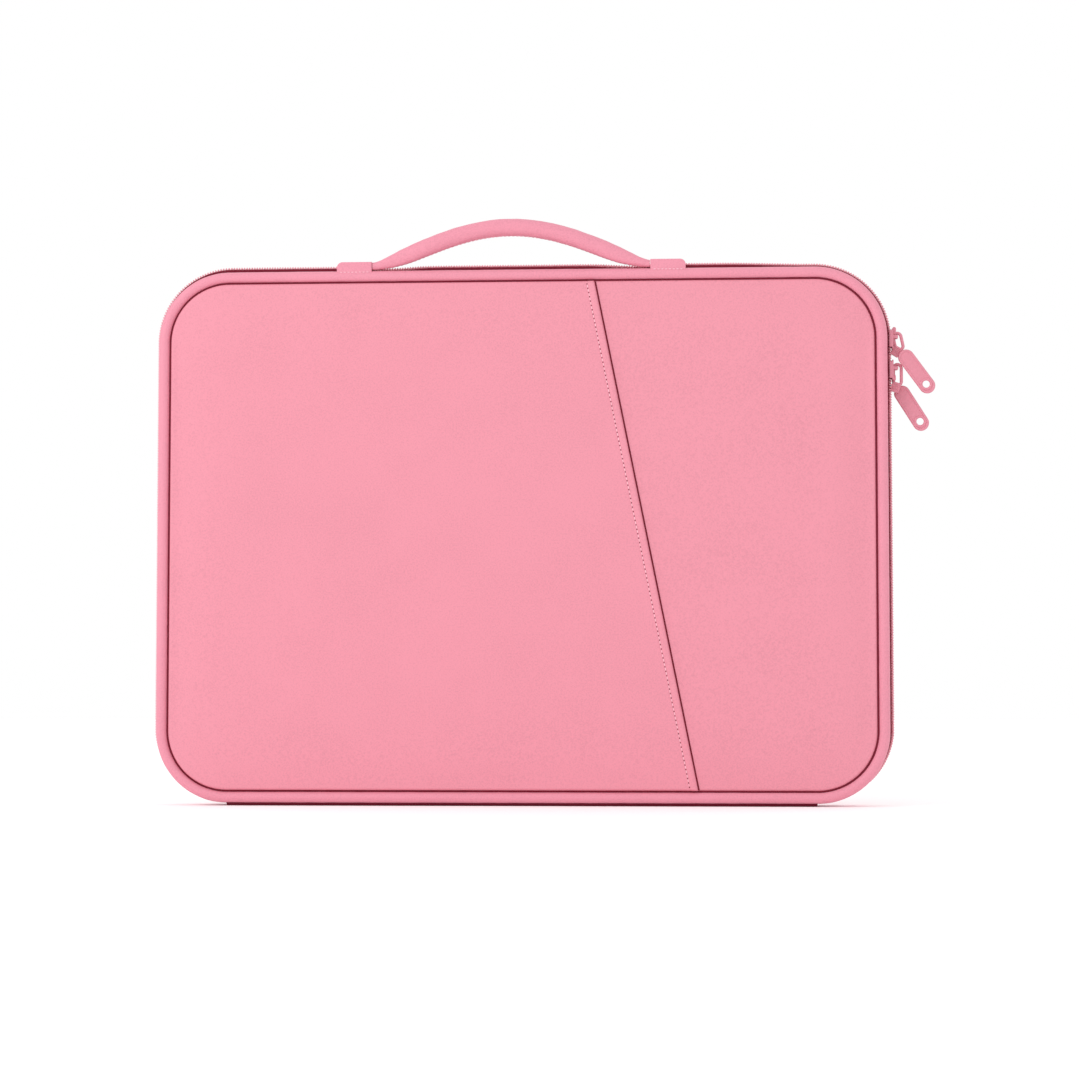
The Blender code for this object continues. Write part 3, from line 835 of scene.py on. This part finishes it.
def make_lining(name, node, toward, body):
    """A plush sheet, softly padded, over the inside of one shell."""
    low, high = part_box(node)
    inset = SIDE - high.x
    inner = high.y if toward < 0 else low.y
    outer = low.y if toward < 0 else high.y

    def soft(x, z):
        distance = seam_distance(x, z, inset)
        wave = 0.12 * MM * noise.noise(Vector((x, 0, z)) * 30)
        rise = (0.25 * MM + wave) * roll(distance, 12 * MM)
        return inner - toward * rise

    def flat(x, z):
        return outer

    sides = (flat, soft) if toward < 0 else (soft, flat)
    sheet = panel(name, heights(inset, 6 * MM), inset, 60, *sides)
    finish_piece(sheet, "plush", body, (node,))


# --- rear shell

def make_rear_shell():
    make_pad(
        "rear_panel_leather",
        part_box("rear_panel")[0].y - 0.7 * MM,
        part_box("rear_panel")[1].y,
        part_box("rear_padding")[0].y,
        "rear_shell",
        ("rear_panel", "rear_padding"),
    )
    make_piping("rear_piping_leather", REAR_PIPING_Y, "rear_shell", "rear_piping")
    make_lining("rear_lining_plush", "rear_lining", 1, "rear_shell")
    make_gusset()
    make_gusset_lining()
    make_spine()
    for side in ("left", "right"):
        make_zip_end_cover(side)


def make_gusset():
    """The leather side wall, with a row of stitches along each edge."""
    front = GUSSET_LOW.y
    back = GUSSET_HIGH.y
    section = strap_section(-1.2 * MM, -0.2 * MM, front, back, 0.3 * MM, crown=0.35 * MM)
    wall = sweep("gusset_leather", lambda i: section, rim(3 * MM))
    finish_piece(wall, "panel", "rear_shell", GUSSET)
    fine = rim(STITCH_PITCH)
    outward = [out for _, out in fine]
    for edge, depth in (("front", front + 1.3 * MM), ("rear", back - 1.3 * MM)):
        points = [base + out * -0.05 * MM + Vector((0, depth, 0)) for base, out in fine]
        stitches("gusset_stitch_" + edge, points, outward, "rear_shell")


def make_gusset_lining():
    low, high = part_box("gusset_lining_top")
    section = strap_section(-4.4 * MM, -1.5 * MM, low.y, high.y, 0.9 * MM)
    wall = sweep("gusset_lining_plush", lambda i: section, rim(4 * MM, closed=True), True)
    finish_piece(wall, "plush", "rear_shell", GUSSET_LINING)


SPINE_HALF_DEPTH = 9.5 * MM  # its edges curl up out of sight under the pipings


def make_spine():
    """The flat strip it stands on, and a strip of painted shade under the front piping."""
    low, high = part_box("bottom_spine")
    low.y = -SPINE_HALF_DEPTH
    high.y = SPINE_HALF_DEPTH
    spine = rounded_block("bottom_spine_leather", low, high, 0.35 * MM)
    finish_piece(spine, "panel", "rear_shell", ("bottom_spine",))
    under = FRONT_PIPING_Y
    path = [(low.y + 1.0 * MM, 0.22 * MM), (low.y - 0.6 * MM, 0.28 * MM), (low.y - 1.3 * MM, 0.6 * MM)]
    path += [(under, BOTTOM - 0.1 * MM), (under - 0.9 * MM, BOTTOM + 0.1 * MM)]
    thick = 0.16 * MM
    steps = 60
    vertices = []
    for i in range(steps + 1):
        x = low.x + (high.x - low.x) * i / steps
        for y, z in path:
            vertices.append((x, y - thick, z - thick))
        for y, z in reversed(path):
            vertices.append((x, y + thick, z + thick))
    # Painted shade: the strip under the front piping is dark where its shadow falls.
    strip = mesh_object("hinge_strip_leather", vertices, tube_faces(steps + 1, 2 * len(path)))
    strip.data.materials.append(MATERIALS["seam"])
    strip.data.shade_smooth()
    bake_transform(strip)


def make_zip_end_cover(side):
    """The leather patch over one end of the zip."""
    node = "zip_end_cover_" + side
    low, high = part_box(node)
    sign = -1 if side == "left" else 1
    top = LOWER_Z - CORNER_RADIUS * 0.707
    places = [p for p in rim(1.5 * MM) if sign * p[0].x > CORNER_X and p[0].z < top]
    section = strap_section(-1.0 * MM, -0.1 * MM, low.y, high.y, 0.25 * MM, crown=0.2 * MM)
    patch = sweep(node + "_leather", lambda i: section, places)
    finish_piece(patch, "trim", "rear_shell", (node,))


# --- zip

TOOTH_PITCH = 1.28 * MM
TOOTH_TOP = 2.15 * MM  # from the body's outline, like every height of the zip
TOOTH_TALL = 1.9 * MM
TOOTH_WIDE = 0.92 * MM
ZIP_ENDS = (225, -45)
TUCK_LENGTH = 26 * MM
TUCK_DEPTH = 1.7 * MM
TOP_LIFT = 0.95 * MM
LEFT_SINK = 0.75 * MM
GUTTER_LOW = -1.9 * MM
GUTTER_TOP = -0.5 * MM


def make_zip():
    rows = {
        "front": ("lid", ("front_zip_teeth_left", "front_zip_teeth_corner", "front_zip_teeth_right"), -1),
        "rear": ("rear_shell", ("rear_zip_teeth",), 1),
    }
    for name, (body, nodes, toward) in rows.items():
        make_teeth(name, body, nodes, toward)
        make_tape(name, body)
    # The gutters are dark strips of painted shade beside the coil rows.
    front = FRONT_PIPING_Y + PIPING_RADIUS * 0.5
    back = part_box("front_zip_teeth_left")[0].y
    make_gutter_shade("front_zip_gutter", "lid", front, back, follow=1.0, rise=1.0 * MM)
    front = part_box("rear_zip_teeth")[1].y
    back = GUSSET_LOW.y + 0.3 * MM
    make_gutter_shade("rear_zip_gutter", "rear_shell", front, back, follow=0.35, rise=0.0)


HANDLE_FEET = (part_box("handle_cover")[0].x + 10 * MM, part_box("handle_cover")[1].x - 10 * MM)


def away_from_feet(x):
    """None at the handle's feet, and whole well away from them."""
    away = 1.0
    for foot in HANDLE_FEET:
        away *= 1 - math.exp(-((x - foot) / (11 * MM)) ** 2)
    return away


def tucked_in(steps, spacing):
    """How far the zip has sunk towards its end, after so many steps along it."""
    return max(0, 1 - steps * spacing / TUCK_LENGTH)


def tooth_lift(base, out):
    """The soft edge pushes the coil up along the top and lets it sink at the left.

    It stays down by the handle's feet, where the handle leans back over it.
    """
    past_corner = min(1, max(0, (CORNER_X - base.x) / (45 * MM)))
    eased = past_corner * past_corner * (3 - 2 * past_corner) * away_from_feet(base.x)
    return TOP_LIFT * max(0, out.z) * eased - LEFT_SINK * max(0, -out.x)


def make_gutter_shade(name, body, front, back, follow, rise):
    """A dark strip of painted shade beside a row of teeth, where the zip's tape meets the leather.

    Its top follows the coil's lift, and rises to fill the gap under the coil's beads
    except under the handle's feet and where the zip sinks in at its ends.
    """
    spacing = 3 * MM
    places = rim(spacing, *ZIP_ENDS)
    count = len(places)

    def section(i):
        base, out = places[i]
        risen = 1 - tucked_in(min(i, count - 1 - i), spacing)
        if out.z > 0.5:
            risen *= away_from_feet(base.x)
        top = GUTTER_TOP + follow * tooth_lift(base, out) + rise * risen
        return strap_section(GUTTER_LOW, top, front, back, 0.2 * MM)

    # Painted shade: the strip is dark where the gap beside the coil lies in shadow.
    fold = sweep(name, section, places)
    finish_piece(fold, "seam", body)


def make_teeth(row, body, nodes, toward):
    """One row of the coil: slanted loops, each a rounded bead across the tape."""
    low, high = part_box(nodes[0])
    depth = (low.y + high.y) / 2
    reach = high.y - low.y
    places = rim(TOOTH_PITCH, *ZIP_ENDS)
    offset = 0.5 if toward > 0 else 0.0
    frames = []
    count = len(places)
    for i, ((base, out), (after, _)) in enumerate(zip(places, places[1:])):
        along = (after - base).normalized()
        tucked = tucked_in(min(i, count - 1 - i), TOOTH_PITCH)
        lean = (Vector((0, toward, 0)) + along * 0.28).normalized()
        height = TOOTH_TOP - TOOTH_TALL / 2 + tooth_lift(base, out) - TUCK_DEPTH * tucked
        place = base + along * offset * TOOTH_PITCH + out * height
        place += Vector((0, depth - toward * 0.05 * MM, 0))
        frames.append(frame_at(place, lean, out))
    teeth = scatter(row + "_zip_coil", (reach + 0.4 * MM, TOOTH_WIDE, TOOTH_TALL), frames)
    finish_piece(teeth, "coil", body, nodes)


def make_tape(row, body):
    """Half of the zip's woven tape, from under the coil to the seam."""
    node = row + "_zip_tape"
    low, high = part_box(node)
    section = strap_section(-1.1 * MM, -0.5 * MM, low.y, high.y, 0.15 * MM)
    tape = sweep(node + "_woven", lambda i: section, rim(3 * MM, *ZIP_ENDS))
    finish_piece(tape, "tape", body, (node,))


# --- handle

HANDLE_LOW, HANDLE_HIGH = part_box("handle_cover")
HANDLE_AXIS = Vector(JOINTS["handle_swing"]["pos_m"])
HANDLE_DEPTH = (HANDLE_HIGH.y - HANDLE_LOW.y) / 2
HANDLE_RISE = HANDLE_HIGH.z - HANDLE_AXIS.z - HANDLE_DEPTH + 0.8 * MM
HANDLE_BOW_POWER = 1.55
HANDLE_SEAM_TURN = math.radians(255)
HANDLE_STITCH_TURN = math.radians(243)


def handle_height(x):
    middle = (HANDLE_LOW.x + HANDLE_HIGH.x) / 2
    across = (x - middle) / ((HANDLE_HIGH.x - HANDLE_LOW.x) / 2)
    return HANDLE_RISE * max(0, 1 - across * across) ** HANDLE_BOW_POWER


def eased_limit(value, most):
    """The value, held smoothly below the most that it can be."""
    return (value ** -6 + most ** -6) ** (-1 / 6)


def handle_point(x, turn, lift=0.0):
    """A point on the roll's surface: turn goes round it from the front.

    The roll flattens toward its ends.
    """
    step = 0.2 * MM
    slope = (handle_height(x + step) - handle_height(x - step)) / (2 * step)
    up = Vector((-slope, 0, 1)).normalized()
    height = handle_height(x)
    tall = eased_limit(1.85 * MM + 0.55 * height, 4.3 * MM)
    deep = eased_limit(1.55 * MM + 0.33 * height, HANDLE_DEPTH - 0.1 * MM)
    centre = Vector((x, HANDLE_AXIS.y, HANDLE_AXIS.z + height))
    rise = up * (tall + lift) * math.sin(turn)
    return centre + rise + FORWARD * (deep + lift) * math.cos(turn)


def make_handle():
    """The leather roll, its lengthwise seam and the stitches along it."""
    steps = 130
    sides = 32
    span = HANDLE_HIGH.x - HANDLE_LOW.x
    vertices = []
    for i in range(steps + 1):
        x = HANDLE_LOW.x + span * (1 - math.cos(math.pi * i / steps)) / 2
        for k in range(sides):
            turn = 2 * math.pi * k / sides
            crease = 0.16 * MM * noise.noise(Vector((x * 210, math.cos(turn), math.sin(turn))))
            seam = 0.35 * MM * math.exp(-((turn - HANDLE_SEAM_TURN) / 0.13) ** 2)
            vertices.append(handle_point(x, turn, crease - seam))
    cover = mesh_object("handle_roll_leather", vertices, tube_faces(steps + 1, sides))
    finish_piece(cover, "trim", "handle", ("handle_cover", "handle_core"))
    count = round(span / STITCH_PITCH)
    xs = [HANDLE_LOW.x + 4 * MM + (span - 8 * MM) * i / count for i in range(count + 1)]
    turn = HANDLE_STITCH_TURN
    places = [handle_point(x, turn, 0.05 * MM) for x in xs]
    outward = [handle_point(x, turn, 1 * MM) - handle_point(x, turn) for x in xs]
    stitches("handle_seam_stitch", places, outward, "handle")
    for side in ("left", "right"):
        make_handle_end(side)
        make_handle_tab(side)


def make_handle_end(side):
    """The rolled end inside the tab, which turns there."""
    node = "handle_end_" + side
    low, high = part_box(node)
    radius = (high.y - low.y) / 2
    points = [(low.x + (high.x - low.x) * i / 8, HANDLE_AXIS.y, HANDLE_AXIS.z) for i in range(9)]
    end = wire(node + "_leather", points, radius)
    finish_piece(end, "trim", "handle", (node,))


def make_handle_tab(side):
    """A leather loop folded over the handle's end and sewn to the front edge."""
    node = "handle_tab_" + side
    low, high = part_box(node)
    sign = -1 if side == "left" else 1
    outer, mouth = (low.x, high.x) if sign < 0 else (high.x, low.x)
    bend = 2.8 * MM
    foot = TOP - 2.2 * MM
    front = low.y - 0.35 * MM
    corner = arc(outer - sign * bend, high.z - bend, bend, 90 - sign * 90, 90)
    outline = [(mouth, foot), (outer, foot)] + corner + [(mouth, high.z)]
    flap_depth = 1.3 * MM
    flap = slab(node + "_flap", [outline], flap_depth, 0.35 * MM)
    flap.location.y = front + flap_depth / 2
    outline[:2] = [(mouth, low.z + 0.2 * MM), (outer, low.z + 0.2 * MM)]
    rest = high.y - front - flap_depth
    loop = slab(node + "_loop", [outline], rest + 0.6 * MM, 0.35 * MM)
    loop.location.y = high.y - rest / 2 - 0.3 * MM
    for part in (flap, loop):
        part.rotation_euler.x = math.radians(90)
    tab = joined(node + "_leather", apply_modifiers(flap), apply_modifiers(loop))
    finish_piece(tab, "trim", "lid", (node,))
    inner = mouth + sign * 1.2 * MM
    outermost = outer - sign * 1.2 * MM
    count = 8
    xs = [inner + (outermost - inner) * i / count for i in range(count + 1)]
    line = [Vector((x, front - 0.05 * MM, TOP - 0.9 * MM)) for x in xs]
    stitches(node + "_stitch", line, [FORWARD] * len(line), "lid", 1.4 * MM, 0.45 * MM)


# --- pulls

HANGERS = {p: Vector(JOINTS[p + "_ring_swing"]["pos_m"]) for p in ("upper", "lower")}
HOLDERS = {p: Vector(JOINTS[p + "_pull_swing"]["pos_m"]) for p in ("upper", "lower")}

# Slider: each crown's rise, its start from the middle, how far it passes the end, its edge
CROWNS = {
    "upper": (1.5 * MM, 1.7 * MM, 1.0 * MM, 0.85 * MM),
    "lower": (1.2 * MM, 2.2 * MM, 0.3 * MM, 0.7 * MM),
}
CROWN_HALF_WIDTH = 1.7 * MM
PLATE_THICKNESS = 0.75 * MM
WALL = 0.65 * MM
WALL_FOOT = 0.9 * MM  # from the body's outline, clear of the gutter
BASE_HALF_WIDTH = 2.8 * MM
POST_FROM_MIDDLE = 3.0 * MM

RING_BEND = 1.9 * MM
RING_WIRE = 0.8 * MM

CLIP_ANGLES = {"upper": 30, "lower": 20}
CLIP_WIDTH = 4.4 * MM
CLIP_START = 0.5 * MM
CLIP_END = 5.4 * MM
RIB_PITCH = 0.8 * MM

PULL_ANGLES = {"upper": 36, "lower": 32}
TAB_LENGTH = 24.7 * MM
TAB_WIDTH = 7.6 * MM
TAB_START = {"upper": 2.9 * MM, "lower": 2.2 * MM}  # from the ring's lower end
TAB_ASIDE = 0.9 * MM
TAB_HOLE_RADIUS = 2.0 * MM
TAB_HOLE_FROM_END = 4.6 * MM
RIM_RADIUS = 0.55 * MM


def make_slider(prefix, sign):
    """The slider: a plate with side walls round the coil, and its rounded crown."""
    low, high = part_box(prefix + "_slider_body")
    middle = (low.z + high.z) / 2
    half = (high.z - low.z) / 2
    foot = SIDE + TOOTH_TOP + 0.12 * MM
    top = foot + PLATE_THICKNESS
    post = middle - sign * POST_FROM_MIDDLE
    rise, start, past, edge = CROWNS[prefix]
    crown = sorted((middle + sign * start, middle + sign * (half + past)))
    parts = [rounded_block("plate", (foot, low.y, low.z), (top, high.y, high.z), 0.3 * MM)]
    for y in (low.y, high.y - WALL):
        parts.append(rounded_block(
            "wall",
            (SIDE + WALL_FOOT, y, low.z + 0.8 * MM),
            (top - 0.2 * MM, y + WALL, high.z - 0.8 * MM),
            0.25 * MM,
        ))
    parts.append(rounded_block(
        "base",
        (low.x, CHAIN_Y - BASE_HALF_WIDTH, low.z),
        (low.x + 0.7 * MM, CHAIN_Y + BASE_HALF_WIDTH, high.z),
        0.2 * MM,
    ))
    parts.append(rounded_block(
        "post",
        (low.x + 0.2 * MM, CHAIN_Y - 0.25 * MM, post - 1.2 * MM),
        (foot + 0.3 * MM, CHAIN_Y + 0.25 * MM, post + 1.2 * MM),
        0.08 * MM,
    ))
    parts.append(rounded_block(
        "crown",
        (top - 0.3 * MM, CHAIN_Y - CROWN_HALF_WIDTH, crown[0]),
        (top + rise, CHAIN_Y + CROWN_HALF_WIDTH, crown[1]),
        edge,
        5,
    ))
    slider = joined(prefix + "_slider_enamel", *parts)
    finish_piece(slider, "enamel", prefix + "_slider", (prefix + "_slider_body",))
    make_bridge(prefix, top - 0.25 * MM)


def make_bridge(prefix, foot):
    """The round-edged arch that the ring swings in."""
    low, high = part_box(prefix + "_slider_bridge")
    half = (high.y - low.y) / 2
    inner = half - 0.8 * MM
    crown = high.x
    inside = crown - 0.7 * MM
    bend = 1.1 * MM
    outline = [(foot, CHAIN_Y - half)]
    outline += arc(crown - bend, CHAIN_Y - half + bend, bend, -90, 0, 6)
    outline += arc(crown - bend, CHAIN_Y + half - bend, bend, 0, 90, 6)
    outline += [(foot, CHAIN_Y + half), (foot, CHAIN_Y + inner)]
    outline += [(inside, CHAIN_Y + inner), (inside, CHAIN_Y - inner), (foot, CHAIN_Y - inner)]
    bridge = slab(prefix + "_bridge_enamel", [outline], high.z - low.z, 0.18 * MM)
    bridge.location = (0, 0, (low.z + high.z) / 2)
    bridge = apply_modifiers(bridge)
    finish_piece(bridge, "enamel", prefix + "_slider", (prefix + "_slider_bridge",))


def make_ring(prefix):
    """A smooth wire loop between the bridge and the clip."""
    hanger = HANGERS[prefix]
    down = HOLDERS[prefix] - hanger
    straight = down.length
    down.normalize()
    across = Vector((0, 1, 0)).cross(down)
    loop = arc(0, 0, RING_BEND, 180, 0, 16) + arc(0, -straight, RING_BEND, 0, -180, 16)
    points = [hanger - across * u - down * v for u, v in loop]
    ring = wire(prefix + "_ring_enamel", points, RING_WIRE, closed=True, steps=5)
    finish_piece(ring, "enamel", prefix + "_ring", (prefix + "_pull_ring",))


def make_clip(prefix):
    """The block that joins the tab to the ring, with ribs across its face."""
    holder = HOLDERS[prefix]
    angle = math.radians(CLIP_ANGLES[prefix])
    down = Vector((-math.sin(angle), 0, -math.cos(angle)))
    across = Vector((math.cos(angle), 0, -math.sin(angle)))
    low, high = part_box(prefix + "_pull_clip")
    half_depth = (high.y - low.y) / 2
    middle = Vector((0, (high.y + low.y) / 2 - holder.y, 0))
    block = rounded_block(
        "block",
        (-CLIP_WIDTH / 2, -half_depth, -CLIP_END),
        (CLIP_WIDTH / 2, half_depth, -CLIP_START),
        0.5 * MM,
    )
    block.matrix_world = Matrix.Translation(holder + middle) @ Matrix.Rotation(angle, 4, "Y")
    bpy.context.view_layer.update()
    frames = []
    for i in range(5):
        place = holder + down * (CLIP_START + RIB_PITCH * (i + 1))
        place.y = low.y - 0.02 * MM
        frames.append(frame_at(place, across, FORWARD))
    ribs = scatter("ribs", (CLIP_WIDTH - 0.5 * MM, 0.5 * MM, 0.6 * MM), frames)
    clip = joined(prefix + "_clip_enamel", block, ribs)
    finish_piece(clip, "enamel", prefix + "_pull", (prefix + "_pull_clip",))


def make_pull_tab(prefix):
    """A long rounded tab, raised round its edge and round its hole."""
    low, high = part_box(prefix + "_pull_tab")
    angle = math.radians(PULL_ANGLES[prefix])
    along = Vector((math.sin(angle), 0, -math.cos(angle)))
    aside = Vector((-math.cos(angle), 0, -math.sin(angle)))
    top = HOLDERS[prefix] + TAB_START[prefix] * along + TAB_ASIDE * aside
    middle_y = (low.y + high.y) / 2
    place = Matrix.Translation((top.x, middle_y, top.z)) @ Matrix.Rotation(-angle, 4, "Y")
    place = place @ Matrix.Rotation(math.radians(90), 4, "X")

    def border(inset, steps):
        radius = TAB_WIDTH / 2
        upper = arc(0, -radius, radius - inset, 180, 0, steps)
        return upper + arc(0, radius - TAB_LENGTH, radius - inset, 0, -180, steps)

    def hole(radius):
        return arc(0, TAB_HOLE_FROM_END - TAB_LENGTH, radius, 0, 360, 28)[:-1]

    plate = slab("plate", [border(0, 20), hole(TAB_HOLE_RADIUS)], 1.0 * MM, 0.25 * MM)
    plate.matrix_world = place
    parts = [apply_modifiers(plate)]
    for line in (border(RIM_RADIUS * 1.05, 24), hole(TAB_HOLE_RADIUS + RIM_RADIUS * 0.9)):
        points = [place @ Vector((u, v, 0)) for u, v in line]
        rim_wire = wire("rim", points, RIM_RADIUS * 1.35, closed=True)
        for vertex in rim_wire.data.vertices:
            vertex.co.y = middle_y + (vertex.co.y - middle_y) * 1.12
        parts.append(rim_wire)
    tab = joined(prefix + "_pull_tab_enamel", *parts)
    finish_piece(tab, "enamel", prefix + "_pull", (prefix + "_pull_tab",))


def make_pulls():
    for prefix, sign in (("upper", 1), ("lower", -1)):
        make_slider(prefix, sign)
        make_ring(prefix)
        make_clip(prefix)
        make_pull_tab(prefix)


# --- studio setting

def make_studio():
    """A pale floor, a nearly white world and one large soft light."""
    bpy.context.scene.view_settings.view_transform = "Standard"
    world = bpy.data.worlds.new("studio")
    world.use_nodes = True
    background = world.node_tree.nodes["Background"]
    background.inputs["Color"].default_value = (1, 1, 1, 1)
    background.inputs["Strength"].default_value = 1.0
    bpy.context.scene.world = world
    body = bmesh.new()
    bmesh.ops.create_grid(body, x_segments=1, y_segments=1, size=6)
    floor = link_bmesh("floor", body)
    floor.location.z = CAD_BOUNDS[0][2] - 0.05 * MM
    material, _, shader = new_material("floor_white", (0.97, 0.97, 0.97), 0.9, 0.1)
    shader.inputs["Emission Color"].default_value = (1, 1, 1, 1)
    shader.inputs["Emission Strength"].default_value = 0.12
    floor.data.materials.append(material)
    data = bpy.data.lights.new("key", "AREA")
    data.energy = 7.5
    data.size = 0.6
    key = link("key", data)
    key.location = (-1.2, -1.2, 1.0)
    aim = Vector((0, 0, 0.15)) - key.location
    key.rotation_euler = aim.to_track_quat("-Z", "Y").to_euler()


# --- build

make_camera()
MATERIALS = make_materials()
make_front_shell()
make_rear_shell()
make_zip()
make_handle()
make_pulls()
make_studio()
